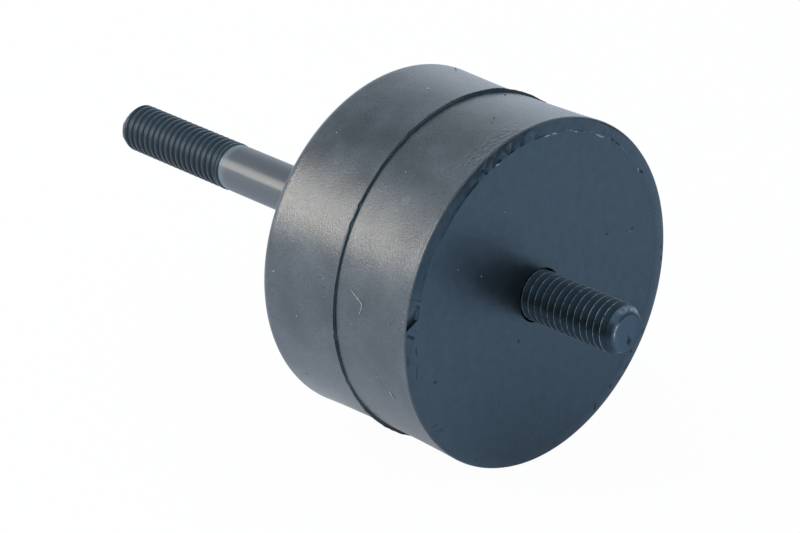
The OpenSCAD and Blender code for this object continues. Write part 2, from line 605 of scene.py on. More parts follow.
# Marks on the front lip: each runs from one angle and radius to another, with its half-width
# and its depth, in degrees and millimetres
LIP_DENTS = (
    (176.2, 32.3, 177.4, 31.2, 0.28, 0.25),
    (164.3, 32.7, 165.0, 30.4, 0.2, 0.12),
    (166.2, 31.2, 167.4, 30.5, 0.18, 0.12),
    (181.4, 30.5, 183.6, 30.5, 0.16, 0.1),
    (188.0, 30.6, 192.1, 31.1, 0.16, 0.12),
    (183.2, 32.3, 186.0, 32.4, 0.2, 0.12),
    (213.2, 31.9, 214.3, 30.6, 0.16, 0.16),
    (215.6, 31.6, 217.4, 30.5, 0.15, 0.12),
    (217.4, 30.5, 219.0, 30.4, 0.15, 0.12),
    (211.6, 30.3, 212.2, 30.1, 0.16, 0.1),
    (240.0, 31.6, 241.2, 31.8, 0.2, 0.14),
    (262.0, 31.9, 264.0, 32.1, 0.2, 0.12),
    (278.0, 31.4, 278.6, 31.6, 0.2, 0.12),
    (33.3, 30.5, 32.0, 30.8, 0.28, 0.25),
    (24.0, 30.5, 22.0, 30.5, 0.14, 0.1),
    (13.9, 30.4, 13.5, 30.6, 0.25, 0.2),
    (0.0, 32.0, 358.8, 32.2, 0.2, 0.15),
    (355.7, 32.2, 355.0, 32.3, 0.25, 0.2),
    (308.2, 31.0, 307.6, 31.3, 0.26, 0.24),
    (310.9, 31.4, 312.9, 32.0, 0.2, 0.14),
    (316.0, 31.9, 318.6, 32.1, 0.2, 0.14),
    (299.6, 31.0, 298.0, 32.0, 0.22, 0.24),
    (322.7, 30.7, 321.8, 31.2, 0.3, 0.25),
    (327.5, 31.8, 330.5, 32.0, 0.2, 0.14),
    (49.5, 30.6, 52.0, 30.7, 0.2, 0.14),
    (53.4, 30.7, 54.6, 30.8, 0.2, 0.16),
)
# Flaps of skin that stand proud below the notch in the left rim, in the same way
LIP_FLAPS = (
    (174.6, 32.0, 175.6, 30.9, 0.5, 0.14),
    (165.4, 30.6, 166.4, 31.8, 0.4, 0.08),
)
# Stretches of the film's edge painted pale as painted glints, from angle to angle
GLINT_EDGES = (
    (110.4, 112.6), (86.4, 89.4), (83.2, 85.8), (73.0, 77.4), (58.8, 64.0), (33.6, 35.2),
)
# Kinks of the flash: their angle and half-width in degrees
FLASH_KINKS = ((150.2, 1.6), (143.7, 1.0), (116.0, 0.8), (97.0, 0.9), (205.0, 1.2), (187.0, 0.7))
# Places where the flash was trimmed lower: angle and half-width in degrees, depth in millimetres
FLASH_TRIMS = ((156, 34, 0.31), (208, 30, 0.32), (58, 18, 0.22))
# Steps of each trim and of each kink, and the distance that a step of a kink moves the flash back
TRIM_STEPS = 8
KINK_STEPS = 3
KINK_SHIFT = 0.09 * MM
# Half-section of the crease in front of the flash: place in front of the parting line in
# thicknesses of the flash, and share of the crease's depth
CREASE_POINTS = ((2.1, 0.3), (1.8, 1.0), (1.6, 1.0))
# Half-section of the flash from front to rear, with a ledge on its front flank: place in front
# of the parting line in thicknesses, and share of the flash's height over the side
FLASH_POINTS = (
    (1.5, 0.3), (1.45, 0.5), (1.2, 0.52), (0.75, 0.53), (0.5, 0.55), (0.4, 0.7),
    (0.3, 0.92), (0.0, 1.0), (-0.4, 0.9), (-0.7, 0.5), (-1.2, 0.1),
)
# Share of the flash's height, and angles, between which its front flank is left out of the painted shade
# and shows paler
PALE_FLANK = (0.45, 0.88)
PALE_FLANK_ANGLES = (92, 126)
# Angles over which the lip is torn, flaky, filmed over, and its skin crinkled. Each mark starts
# at the first angle, is full between the next two and ends at the last.
TORN_ANGLES = (36, 60, 158, 168)
FLAKY_ANGLES = (90, 97, 116, 128)
FILM_ANGLES = (40, 60, 120, 140)
CRINKLED_ANGLES = (92, 102, 114, 127)
# Reach of the front lip: behind the seat face, and inside and outside the rim of the plate
LIP_BEHIND = 1.2 * MM
LIP_INSIDE = 1.0 * MM
LIP_OUTSIDE = 2.3 * MM
# Notch in the left rim: its depth, the angle of its edge at a radius and the edge's slant
NOTCH_DEPTH = 0.6 * MM
NOTCH_ANGLE = 171.3
NOTCH_RADIUS = 30.6 * MM
NOTCH_SLANT = 1.5 / MM


def arc(centre_x, centre_r, radius, start, end, count):
    """Points of an arc in the half-section, with its angles in degrees from the axis outwards."""
    points = []
    for index in range(count + 1):
        angle = math.radians(start + (end - start) * index / count)
        points.append((centre_x + radius * math.cos(angle), centre_r + radius * math.sin(angle)))
    return points


def rim_radius(size):
    """Radius of the block at its rims."""
    return BLOCK_HIGH.y - size.flash


def side_radius(x, size):
    """Radius of the block's side: a shallow waist between the front rim and the rear edge."""
    share = x / (REAR_X + size.rear_edge)
    return rim_radius(size) - 4 * share * (1 - share) * size.waist


def side(from_x, to_x, count, size):
    """Points of the side from one place on the axis up to another."""
    places = [from_x + (to_x - from_x) * index / count for index in range(count)]
    return [(x, side_radius(x, size)) for x in places]


def block_section(size):
    """Half-section of the block, from the front recess round the outside to the rear one."""
    radius = rim_radius(size)
    lip_r = radius - size.rim
    film_r = PLATE_R - size.film
    line = -size.parting
    foot = side_radius(line, size)
    height = radius + size.flash - foot
    thick = size.flash_thick
    points = [(-PLATE_T, 0), (-PLATE_T, PLATE_R), (0, PLATE_R), (0, film_r)]
    lip_rings = 13
    for index in range(lip_rings):
        r = film_r + (lip_r - film_r) * index / lip_rings
        fall = max(r - PLATE_R, 0) / (lip_r - PLATE_R)
        points.append((size.film_thick - size.crown * fall * fall, r))
    points += arc(-size.crown - size.rim, lip_r, size.rim, 0, 90, 6)
    points += side(-size.crown - 1.6 * size.rim, line + 9 * thick, 35, size)
    points += side(line + 9 * thick, line + 3 * thick, 5, size)
    points += [(line + along * thick, foot - share * size.crease) for along, share in CREASE_POINTS]
    points += [(line + along * thick, foot + share * height) for along, share in FLASH_POINTS]
    points += side(line - 2.5 * thick, REAR_X + size.rear_edge, 36, size)
    points += arc(REAR_X + size.rear_edge, radius - size.rear_edge, size.rear_edge, 90, 180, 8)
    points += [(REAR_X, PLATE_R + size.film), (REAR_X, PLATE_R)]
    points += [(REAR_X + PLATE_T, PLATE_R), (REAR_X + PLATE_T, 0)]
    return points


def hex_bar(name, from_x, to_x):
    """A hexagonal bar along the axis, as wide as a screw's head, with two corners up and down."""
    bpy.ops.mesh.primitive_cylinder_add(
        vertices=6, radius=HEAD_CORNER_R, depth=abs(to_x - from_x),
        location=((from_x + to_x) / 2, 0, 0), rotation=(0, math.pi / 2, 0),
    )
    bar = bpy.context.object
    bar.name = name
    bpy.ops.object.transform_apply(location=True, rotation=True, scale=True)
    return bar


def on_face(angle, radius):
    """A point across the axis from its angle and radius."""
    turn = math.radians(angle)
    return Vector((0, math.cos(turn), math.sin(turn))) * radius


def mark_depth(r, angle, marks):
    """Depth of the deepest of these marks at a radius and an angle."""
    spot = on_face(angle, r)
    depth = 0.0
    for from_angle, from_r, to_angle, to_r, width, full in marks:
        start = on_face(from_angle, from_r * MM)
        run = on_face(to_angle, to_r * MM) - start
        share = min(max((spot - start).dot(run) / run.length_squared, 0.0), 1.0)
        gap = (spot - start - run * share).length
        depth = max(depth, full * MM * ease(gap, width * MM, 0.4 * width * MM))
    return depth


def notch_depth(r, angle):
    """Depth of the notch in the left rim: it deepens downwards to a sharp slanting edge."""
    edge = NOTCH_ANGLE + NOTCH_SLANT * (r - NOTCH_RADIUS)
    if angle > edge:
        return 0.0
    return NOTCH_DEPTH * ease(angle, edge - 7, edge) * ease(r, PLATE_R - 0.2 * MM, PLATE_R + 0.4 * MM)


def torn_share(angle):
    """How far the lip is torn at an angle: from the notch on the left over the top."""
    return within(angle, *TORN_ANGLES)


def dark_share(angle):
    """How dark the torn lip is: darkest left of the top, paler towards the notch."""
    return (0.2 + 0.8 * ease(angle, 84, 106)) * (1 - 0.5 * ease(angle, 124, 138)) * torn_share(angle)


def on_lip(x, r):
    """Whether a place lies on the front lip or on the film inside it."""
    return x > -LIP_BEHIND and PLATE_R - LIP_INSIDE < r < PLATE_R + LIP_OUTSIDE


def shape_flash(block, size):
    """Makes the flash uneven: lower on the left, kinked in places and ragged along its edge, with
    painted shade on its flanks and in the crease at its root.
    """
    line = -size.parting
    foot = side_radius(line, size)
    height = rim_radius(size) + size.flash - foot

    def on_flash(x, r):
        return abs(x - line) < 1.55 * size.flash_thick and r > foot + 0.15 * height

    def fin_shade_at(x, r, angle):
        # Painted shade, with the darker tone of the torn edge: dark on its flanks and in the crease at
        # its root, left out on a band of the front flank above left, and fainter below left
        low, high = PALE_FLANK
        start, end = PALE_FLANK_ANGLES
        paler = low < (r - foot) / height < high and start < angle < end
        shaded = abs(x - line) < 1.7 * size.flash_thick and r > PLATE_R and not paler
        return shaded * (1 - 0.45 * ease(angle, 188, 206))

    paint(block, "fin", fin_shade_at)
    for middle, width, depth in FLASH_TRIMS:
        shrink = 1 - depth * MM / TRIM_STEPS / foot
        for step in range(TRIM_STEPS):
            reach = width * (1 - step / TRIM_STEPS)
            select_where(block, lambda x, r, angle: on_flash(x, r) and abs(angle - middle) < reach)
            bpy.ops.transform.resize(value=(1, shrink, shrink), center_override=(0, 0, 0))
            close_edit()
    for middle, width in FLASH_KINKS:
        for step in range(KINK_STEPS):
            reach = width * (1 - 0.3 * step)
            select_where(block, lambda x, r, angle: on_flash(x, r) and abs(angle - middle) < reach)
            bpy.ops.transform.translate(value=(-KINK_SHIFT, 0, 0))
            close_edit()
    weigh(block, "flash", lambda x, r, angle: on_flash(x, r) * ease(r, foot, foot + height))
    roughen(block, "flash", "CLOUDS", 3.2 * MM, 0.2 * MM)
    roughen(block, "flash", "CLOUDS", 0.8 * MM, 0.18 * MM)


def tear_lip(block, size):
    """Tears the skin off part of the front lip and adds its nicks, cracks and flaps."""
    rim_x = -size.crown - size.rim
    refine(block, 1, lambda x, r, angle: on_lip(x, r) and x > rim_x)
    refine(block, 1, lambda x, r, angle: on_lip(x, r) and x > rim_x and 161 < angle < 180)
    lip_r = rim_radius(size) - size.rim
    edge = 0.12 * MM

    def on_tear(x, r, angle):
        band = within(r, PLATE_R, PLATE_R + edge, lip_r, lip_r + edge)
        return on_lip(x, r) * band * torn_share(angle)

    weigh(block, "tear", on_tear)
    push(block, "tear", -size.torn)
    roughen(block, "tear", "CLOUDS", 2.4 * MM, 0.26 * MM, "X")
    roughen(block, "tear", "CLOUDS", 0.7 * MM, 0.12 * MM, "X")

    def on_flakes(x, r, angle):
        return on_tear(x, r, angle) * within(angle, *FLAKY_ANGLES)

    weigh(block, "flakes", on_flakes)
    roughen(block, "flakes", "VORONOI", 2.3 * MM, 0.18 * MM, "X", 0.7)

    def on_film(x, r, angle):
        film_r = PLATE_R - size.film
        band = within(r, film_r - edge, film_r, PLATE_R, PLATE_R + edge)
        return on_lip(x, r) * band * within(angle, *FILM_ANGLES)

    weigh(block, "film", on_film)
    roughen(block, "film", "CLOUDS", 1.4 * MM, 0.3 * MM, "X", 0.42)
    for name, marks, sign in (("dents", LIP_DENTS, -1), ("flaps", LIP_FLAPS, 1)):
        most = max(mark[-1] for mark in marks) * MM
        weigh(block, name, lambda x, r, angle: on_lip(x, r) and mark_depth(r, angle, marks) / most)
        push(block, name, sign * most)
    weigh(block, "notch", lambda x, r, angle: on_lip(x, r) and notch_depth(r, angle) / NOTCH_DEPTH)
    push(block, "notch", -NOTCH_DEPTH)


def crinkle_skin(block, size):
    """Crinkles the skin behind the front rim, above the notch, and waves the rest a little."""
    near, far = -0.4 * MM, -6.0 * MM
    start, end = CRINKLED_ANGLES[0] - 2, CRINKLED_ANGLES[-1] + 1

    def on_patch(x, r, angle):
        return far < x < near and r > PLATE_R and start < angle < end

    def patch_weight(x, r, angle):
        if not on_patch(x, r, angle):
            return 0
        return within(x, far, 0.5 * far, 2 * near, near) * within(angle, *CRINKLED_ANGLES)

    refine(block, 3, on_patch)
    weigh(block, "crinkle", patch_weight)
    bpy.ops.object.empty_add(rotation=(0, 0, math.radians(-16)))
    stretch = bpy.context.object
    stretch.scale = (1, 2.4, 2.4)
    roughen(
        block, "crinkle", "CLOUDS", 0.42 * MM, 0.18 * MM,
        texture_coords="OBJECT", texture_coords_object=stretch,
    )
    bpy.data.objects.remove(stretch)
    weigh(block, "skin", lambda x, r, angle: REAR_X + size.rear_edge < x < -size.rim and r > PLATE_R)
    roughen(block, "skin", "CLOUDS", 11 * MM, 0.08 * MM)


def dress_block(block, size, colours):
    """Marks the torn places with painted shade in their dents, notch and deeper parts, paints glints on
    the film's edge, and gives the block its two finishes.
    """

    def tear_and_shade_at(x, r, angle):
        # Darker tone of the torn lip, with painted shade in the dents, in the notch and where the tear
        # goes deeper
        if on_lip(x, r):
            dents = min(mark_depth(r, angle, LIP_DENTS) / (0.25 * MM), 0.6)
            torn_tone_and_shade = (0.45 + 0.4 * ease(x, -0.05 * MM, -0.3 * MM)) * dark_share(angle)
            torn_tone_and_shade *= ease(r, PLATE_R - 0.1 * MM, PLATE_R + 0.15 * MM)
            return max(dents, torn_tone_and_shade, 0.5 * ease(notch_depth(r, angle), 0.2 * MM, NOTCH_DEPTH))
        return 0.0

    # Painted glints: pale strokes along stretches of the film's edge
    def glint_at(x, r, angle):
        if not on_lip(x, r):
            return 0.0
        edge = PLATE_R - 0.3 * size.film + 0.12 * MM * math.sin(3.1 * angle) * math.sin(1.7 * angle)
        line = 0.8 * ease(abs(r - edge), 0.13 * MM, 0.03 * MM)
        return line * max(within(angle, low, low + 0.6, high - 0.6, high) for low, high in GLINT_EDGES)

    paint(block, "torn", tear_and_shade_at)
    paint(block, "glint", glint_at)
    block.data.materials.append(moulded_rubber(size, colours))
    block.data.materials.append(bonding_coat(colours))
    lip_r = rim_radius(size) - 0.5 * size.rim
    for face in block.data.polygons:
        x, r, angle = polar(face.center)
        face.material_index = int(on_lip(x, r) and r < lip_r)


class MOUNT_OT_rubber_block(bpy.types.Operator):
    """Models the moulded rubber block with its flash, torn lip and crinkled skin"""

    bl_idname = "mount.rubber_block"
    bl_label = "Rubber block"

    def execute(self, context):
        size = context.scene.mount_block
        block = turned("rubber_block_moulded", block_section(size), size.steps)
        past = 1 * MM
        front_head = -PLATE_T - HEAD_HEIGHT
        combine(block, "DIFFERENCE", hex_bar("front_head_room", front_head, -PLATE_T + past))
        rear_head = REAR_X + PLATE_T + HEAD_HEIGHT
        combine(block, "DIFFERENCE", hex_bar("rear_head_room", rear_head, REAR_X + PLATE_T - past))
        shape_flash(block, size)
        tear_lip(block, size)
        crinkle_skin(block, size)
        dress_block(block, size, context.scene.mount_finish)
        finish_piece(block, "rubber_block")
        return {"FINISHED"}


# The end plates

# Pits in the coat of the front plate: their angle in degrees, radius in millimetres and depth
# as a share of the deepest
FACE_PITS = (
    (13.6, 24.6, 0.8), (21.4, 18.4, 0.7), (235.3, 9.1, 0.9),
    (198.8, 27.3, 1.0), (214.1, 25.7, 0.4), (240.7, 20.9, 0.4),
)


def plate_section(size):
    """Closed half-section of a plate whose face lies at x = 0."""
    hole_r = THREAD_R + size.hole_gap
    first = hole_r + size.edge
    rings = round((PLATE_R - first) / size.ring)
    points = [(-PLATE_T, hole_r), (-size.edge, hole_r)]
    points += [(0, first + (PLATE_R - first) * index / rings) for index in range(rings + 1)]
    points += [(-PLATE_T, PLATE_R), (-PLATE_T, hole_r)]
    return points


def pit_plate(plate, size):
    """Lets the coat of a plate's face run a little uneven, pits it, and paints shade in the pits."""
    inner = THREAD_R + size.hole_gap + 2 * size.ring
    outer = PLATE_R - size.ring

    def on_wave(x, r, angle):
        return within(r, inner, 2 * inner, outer, PLATE_R) * (x > -MM)

    weigh(plate, "wave", on_wave)
    roughen(plate, "wave", "CLOUDS", 9 * MM, size.wave, "X", 0.8)
    reach = 0.45 * MM
    for pit_angle, pit_r, share in FACE_PITS:
        spot = on_face(pit_angle, pit_r * MM)

        def gap(x, r, angle):
            return (on_face(angle, r) - spot).length if x > -MM else PLATE_R

        refine(plate, 5, lambda x, r, angle: gap(x, r, angle) < 1.4 * size.ring)
        weigh(plate, "pit", lambda x, r, angle: ease(gap(x, r, angle), reach, 0.3 * reach))
        push(plate, "pit", -size.pit * share)
        plate.vertex_groups.remove(plate.vertex_groups["pit"])
    spots = [(on_face(angle, r * MM), share) for angle, r, share in FACE_PITS]

    # Painted shade in the pits of the coat
    def pit_shaded(x, r, angle):
        place = on_face(angle, r)
        shades = [share * ease((place - spot).length, 0.9 * reach, 0.3 * reach) for spot, share in spots]
        return 0.9 * max(shades) * (x > -MM)

    paint(plate, "torn", pit_shaded)


class MOUNT_OT_end_plates(bpy.types.Operator):
    """Models the front plate, and the rear one as a turned copy of it"""

    bl_idname = "mount.end_plates"
    bl_label = "End plates"

    def execute(self, context):
        size = context.scene.mount_plate
        front = turned("front_plate_coated", plate_section(size), size.steps)
        front.data.materials.append(bpy.data.materials["bonding_coat"])
        pick(front)
        bpy.ops.object.duplicate(linked=False)
        rear = context.object
        rear.name = "rear_plate_coated"
        rear.data.name = rear.name
        turn_to_rear(rear)
        pit_plate(front, size)
        finish_piece(front, "front_plate")
        finish_piece(rear, "rear_plate")
        return {"FINISHED"}


# The studs


def thread_section(crest, crest_round, depth, size):
    """One pitch of the thread, from root to root, with a rounded crest."""
    middle = size.pitch / 2
    root_r = THREAD_R - depth
    points = [(0, root_r), (size.root / 2, root_r + 0.1 * depth)]
    for turn in range(-75, 76, 25):
        angle = math.radians(turn)
        along = middle + crest / 2 * math.sin(angle) / math.sin(math.radians(75))
        points.append((along, THREAD_R - crest_round * (1 - math.cos(angle))))
    points += [(size.pitch - size.root / 2, root_r + 0.1 * depth), (size.pitch, root_r)]
    return points


def rolled_thread(name, start, end, section, size):
    """A length of right-hand thread between two planes across the axis."""
    piece = draw_section(name, section)
    turns = math.ceil((end - start) / size.pitch) + 3
    bpy.ops.mesh.select_all(action="SELECT")
    bpy.ops.transform.translate(value=(start - 1.5 * size.pitch, 0, 0))
    close_edit()
    apply_modifier(
        piece, "SCREW", axis="X", angle=math.tau, screw_offset=size.pitch, iterations=turns,
        steps=size.steps, render_steps=size.steps,
    )
    open_edit()
    weld()
    for plane_x, sides in ((start, {"clear_inner": True}), (end, {"clear_outer": True})):
        bpy.ops.mesh.select_all(action="SELECT")
        bpy.ops.mesh.bisect(plane_co=(plane_x, 0, 0), plane_no=(1, 0, 0), threshold=WELD, **sides)
    bpy.ops.mesh.select_all(action="SELECT")
    bpy.ops.mesh.fill_holes(sides=0)
    weld()
    close_edit()
    return piece


# Middle of a stud's end face, off the axis, and a step of the shrinking that goes with it
TIP_MIDDLE = Vector((0, 0.3, -0.3)) * MM
TIP_SHRINK = 0.975
# Angles at the lower left of a thread that are painted lighter as a painted reflection of the floor
FLOOR_REFLECTION_ANGLES = (168, 196, 240, 262)


def tip_envelope(start, length, size):
    """What a chamfering tool leaves of a stud's end: a cone with a ragged rim and a shallow cup."""
    past = 1 * MM
    tip_r = THREAD_R - size.tip_depth
    lip = 0.12 * MM
    slope = TIP_LENGTH / size.tip_depth
    envelope = turned("tip_envelope", [
        (start - past, 0),
        (start - past, THREAD_R + past),
        (length - TIP_LENGTH - past * slope, THREAD_R + past),
        (length - TIP_LENGTH, THREAD_R),
        *[(length - out * lip * slope, tip_r + out * lip) for out in (6, 3, 1.5, 0.7)],
        (length - 0.3 * lip, tip_r),
        (length - 0.3 * lip, tip_r - 0.7 * lip),
        (length - size.cup / 2, tip_r - 4 * lip),
        *[(length - size.cup, tip_r - inside * lip) for inside in (9, 13, 18)],
        (length - size.cup, 0),
    ], size.tip_steps)
    for reach in (4, 2):
        select_where(envelope, lambda x, r, angle: x > length - reach * lip * slope)
        bpy.ops.transform.resize(value=(1, TIP_SHRINK, TIP_SHRINK), center_override=(0, 0, 0))
        bpy.ops.transform.translate(value=0.5 * TIP_MIDDLE)
        close_edit()
    rim_x = length - 7 * lip * slope
    weigh(envelope, "rim", lambda x, r, angle: float(x > rim_x and r > tip_r - 6 * lip))
    roughen(envelope, "rim", "CLOUDS", 0.9 * MM, 0.2 * MM, "NORMAL", 0.75)
    return envelope


def stud_body(name, thread_start, depth, size):
    """The head and the plain shank, with a shallow neck and a ring where the thread starts."""
    shank_r = THREAD_R - size.shank_drop
    ring_r = THREAD_R + 0.01 * MM
    neck_x = thread_start - size.runout
    shank = turned(name, [
        (-PLATE_T - HEAD_HEIGHT / 2, 0),
        (-PLATE_T - HEAD_HEIGHT / 2, shank_r),
        (neck_x - size.band, shank_r),
        (neck_x - 0.7 * size.band, shank_r),
        (neck_x - 0.4 * size.band, shank_r - 0.15 * size.neck),
        (neck_x, shank_r - 0.4 * size.neck),
        (thread_start - 0.8 * size.runout, shank_r - 0.7 * size.neck),
        (thread_start - 0.5 * size.runout, shank_r - size.neck),
        (thread_start - 0.25 * size.runout, shank_r - 0.7 * size.neck),
        (thread_start, ring_r - 0.3 * size.neck),
        (thread_start + 0.1 * size.pitch, ring_r),
        (thread_start + 0.35 * size.pitch, ring_r),
        (thread_start + 0.45 * size.pitch, ring_r - 0.2 * depth),
        (thread_start + 0.65 * size.pitch, THREAD_R - depth),
        (thread_start + 0.65 * size.pitch, 0),
    ], size.shank_steps)
    head = hex_bar("head", -PLATE_T, -PLATE_T - HEAD_HEIGHT)
    apply_modifier(head, "BEVEL", width=size.head_edge, segments=2)
    combine(shank, "UNION", head)
    return shank


def stud(name, length, thread_start, section, top_light, floor_reflection, size):
    """A stud along +X whose seat face lies at x = 0, with a thread of this section.

    Its top is painted lighter as painted light from above, and its lower left as a painted reflection of
    the floor, by the two shares given.
    """
    depth = THREAD_R - section[0][1]
    thread = rolled_thread("thread", thread_start, length + size.pitch, section, size)
    combine(thread, "INTERSECT", tip_envelope(thread_start, length, size))
    body = stud_body(name, thread_start, depth, size)
    combine(body, "UNION", thread)

    def painted_light_at(x, r, angle):
        # Painted light: lighter on top, as lit from above, and at the lower left as a painted reflection
        # of the floor
        upper = top_light * ease(math.sin(math.radians(angle)), 0.1, 0.9)
        return max(upper, floor_reflection * within(angle, *FLOOR_REFLECTION_ANGLES))

    paint(body, "dust_and_light", painted_light_at)
    return body


def cut_end(body, length, size):
    """Paints the end of a stud: paler and bluer as a painted reflection, with painted shade in a seam
    and a dent, and a painted highlight on its rim and cone.
    """
    tip_r = (THREAD_R - size.tip_depth) * TIP_SHRINK * TIP_SHRINK
    cone_x = length - TIP_LENGTH

    def outside(r, angle):
        return (on_face(angle, r) - TIP_MIDDLE).length - tip_r

    def towards(angle, middle, low, high):
        return ease(math.cos(math.radians(angle - middle)), low, high)

    def cut_reflection_and_shade_at(x, r, angle):
        # Painted shade: a dark seam along the top of the end face and a dent below its middle. Painted
        # reflection: the end face is paler and bluer, and the cone is bluer on its upper left alone.
        out = outside(r, angle)
        seam_shade = towards(angle, 82, 0.5, 0.85) * ease(abs(out), 0.25 * MM, 0.1 * MM)
        gap = (on_face(angle, r) - on_face(289, 2.3 * MM)).length
        shaded = max(seam_shade, ease(gap, 0.8 * MM, 0.3 * MM))
        cone = ease(x, cone_x + 0.1 * TIP_LENGTH, cone_x + 0.3 * TIP_LENGTH)
        reflected_blue = 0.08 + 0.92 * towards(angle, 112, 0.8, 0.94)
        return cone * (1 - shaded) * (reflected_blue if out > 0.2 * MM else 1)

    def rim_glint_at(x, r, angle):
        # Painted highlight: the rim is pale on its left and the cone at its upper right, in patches
        out = outside(r, angle)
        thin = ease(abs(out), 0.07 * MM, 0.02 * MM) * (x > length - 0.5 * MM)
        rim = thin * max(0.75 * towards(angle, 163, 0.82, 0.95), 0.5 * towards(angle, 330, 0.7, 0.9))
        upper = towards(angle, 62, 0.5, 0.95) * (out > 0.2 * MM)
        cone = 0.6 * upper * ease(x, cone_x + 0.2 * TIP_LENGTH, cone_x + 0.4 * TIP_LENGTH)
        return max(rim, cone)

    paint(body, "cut", cut_reflection_and_shade_at)
    paint(body, "rim", rim_glint_at)


class MOUNT_OT_front_stud(bpy.types.Operator):
    """Models the short stud, threaded over its whole free length"""

    bl_idname = "mount.front_stud"
    bl_label = "Front stud"

    def execute(self, context):
        size = context.scene.mount_stud
        colours = context.scene.mount_finish
        section = thread_section(size.crest, size.crest_round, size.depth, size)
        thread_start = -1.2 * size.pitch
        piece = stud("front_stud_rolled", FRONT_LENGTH, thread_start, section, 0.85, 0.8, size)
        cut_end(piece, FRONT_LENGTH, size)
        finish = phosphated_thread(
            "phosphated_thread", colours.phosphate, colours.crest, 1.4 * size.crest_round, 0.12, colours
        )
        piece.data.materials.append(finish)
        finish_piece(piece, "front_stud", 35)
        return {"FINISHED"}


class MOUNT_OT_rear_stud(bpy.types.Operator):
    """Models the long stud, with a plain shank and a threaded end"""

    bl_idname = "mount.rear_stud"
    bl_label = "Rear stud"

    def execute(self, context):
        size = context.scene.mount_stud
        colours = context.scene.mount_finish
        section = thread_section(size.wide_crest, size.wide_round, size.shallow, size)
        thread_start = REAR_LENGTH - REAR_THREAD
        piece = stud("rear_stud_rolled", REAR_LENGTH, thread_start, section, 1.0, 0.0, size)

        def on_band(x, r, angle):
            behind = thread_start - size.runout - x
            return ease(behind, size.band, 0.1 * size.band) * (x < thread_start)

        paint(piece, "band", on_band)
        finish = phosphated_thread(
            "grey_phosphated_thread", colours.grey, colours.grey_crest,
            0.5 * size.wide_round, 0.26, colours,
        )
        piece.data.materials.append(finish)
        piece.data.materials.append(phosphated_shank(colours))
        for face in piece.data.polygons:
            face.material_index = int(face.center.x < thread_start - 0.2 * size.runout)
        turn_to_rear(piece)
        finish_piece(piece, "rear_stud", 35)
        return {"FINISHED"}


# Lint and dust

# Threads of lint on the side: five points each, as their place behind the front face in
# millimetres and their angle in degrees
LINT = (
    ((14.7, 169.4), (13.6, 170.6), (12.4, 171.5), (11.5, 172.6), (12.2, 175.6)),
    ((6.3, 199.8), (6.1, 200.6), (6.0, 201.3), (5.8, 202.0), (5.7, 202.7)),
)
# Specks of dust on the side: place behind the front face, angle, and radius in millimetres
SPECKS = (
    (34.7, 174.0, 0.14), (22.1, 169.6, 0.12), (28.8, 186.0, 0.12), (26.7, 93.8, 0.19),
    (32.9, 125.1, 0.12), (0.9, 168.6, 0.13), (1.1, 171.9, 0.11), (0.8, 174.2, 0.12),
    (13.4, 128.6, 0.13), (9.0, 150.0, 0.09), (24.6, 142.0, 0.09), (30.2, 160.5, 0.1),
    (21.5, 175.2, 0.1), (14.3, 180.4, 0.09), (9.0, 196.0, 0.1),
)
# Black crumbs on the side, in the same way
CRUMBS = (
    (21.8, 172.4, 0.11), (4.2, 174.4, 0.12), (31.8, 212.4, 0.13), (30.6, 194.4, 0.11),
    (24.2, 188.8, 0.09), (10.5, 175.2, 0.09), (2.1, 174.8, 0.11), (16.4, 77.5, 0.18),
    (8.5, 96.4, 0.15), (7.4, 99.0, 0.1), (34.6, 68.0, 0.15), (33.0, 70.5, 0.12),
)
# Specks on the front face: angle, distance from the axis, and radius in millimetres
FACE_SPECKS = ((151.4, 23.4, 0.1), (151.0, 16.9, 0.12), (115.9, 20.8, 0.1))
LINT_THICK = 0.09 * MM


def lint_thread(places, size):
    """A thread of lint that lies on the side along these places."""
    bpy.ops.curve.primitive_nurbs_path_add()
    curve = bpy.context.object.data
    path = curve.splines[0]
    for point, (behind, angle) in zip(path.points, places):
        x = -behind * MM
        spot = on_face(angle, side_radius(x, size) + 0.8 * LINT_THICK)
        point.co = (x, spot.y, spot.z, 1)
    path.order_u = 3
    curve.bevel_depth = LINT_THICK
    curve.bevel_resolution = 1
    curve.use_fill_caps = True
    bpy.ops.object.convert(target="MESH")
    return bpy.context.object


def speck(x, angle, from_axis, radius):
    """A small grain, half sunk into the surface, with its radius in millimetres."""
    place = on_face(angle, from_axis)
    place.x = x
    bpy.ops.mesh.primitive_ico_sphere_add(subdivisions=2, radius=radius * MM, location=place)
    return bpy.context.object


class MOUNT_OT_lint(bpy.types.Operator):
    """Lays lint and dust on the rubber"""

    bl_idname = "mount.lint"
    bl_label = "Lint"

    def execute(self, context):
        size = context.scene.mount_block
        colours = context.scene.mount_finish
        lint = settled_dust("grey_lint", colours.bloom, colours.dust_and_light)
        crumb = settled_dust("black_crumb", colours.torn, colours.rubber)
        parts = [(lint_thread(places, size), lint) for places in LINT]
        for grains, finish in ((SPECKS, lint), (CRUMBS, crumb)):
            for behind, angle, radius in grains:
                x = -behind * MM
                parts.append((speck(x, angle, side_radius(x, size), radius), finish))
        for angle, from_axis, radius in FACE_SPECKS:
            parts.append((speck(0, angle, from_axis * MM, radius), lint))
        pick(parts[0][0])
        for part, finish in parts:
            part.data.materials.append(finish)
            part.select_set(True)
        bpy.ops.object.join()
        piece = context.object
        piece.name = "lint"
        piece.data.name = "lint"
        bpy.ops.object.transform_apply(location=True, rotation=True, scale=True)
        open_edit()
        weld()
        close_edit()
        bpy.ops.object.shade_smooth()
        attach(piece, "root")
        return {"FINISHED"}


# The stage

WHITE = (1, 1, 1, 1)
SEEN = ("Is Camera Ray", "Is Transmission Ray")
MIRRORED = ("Is Glossy Ray",)


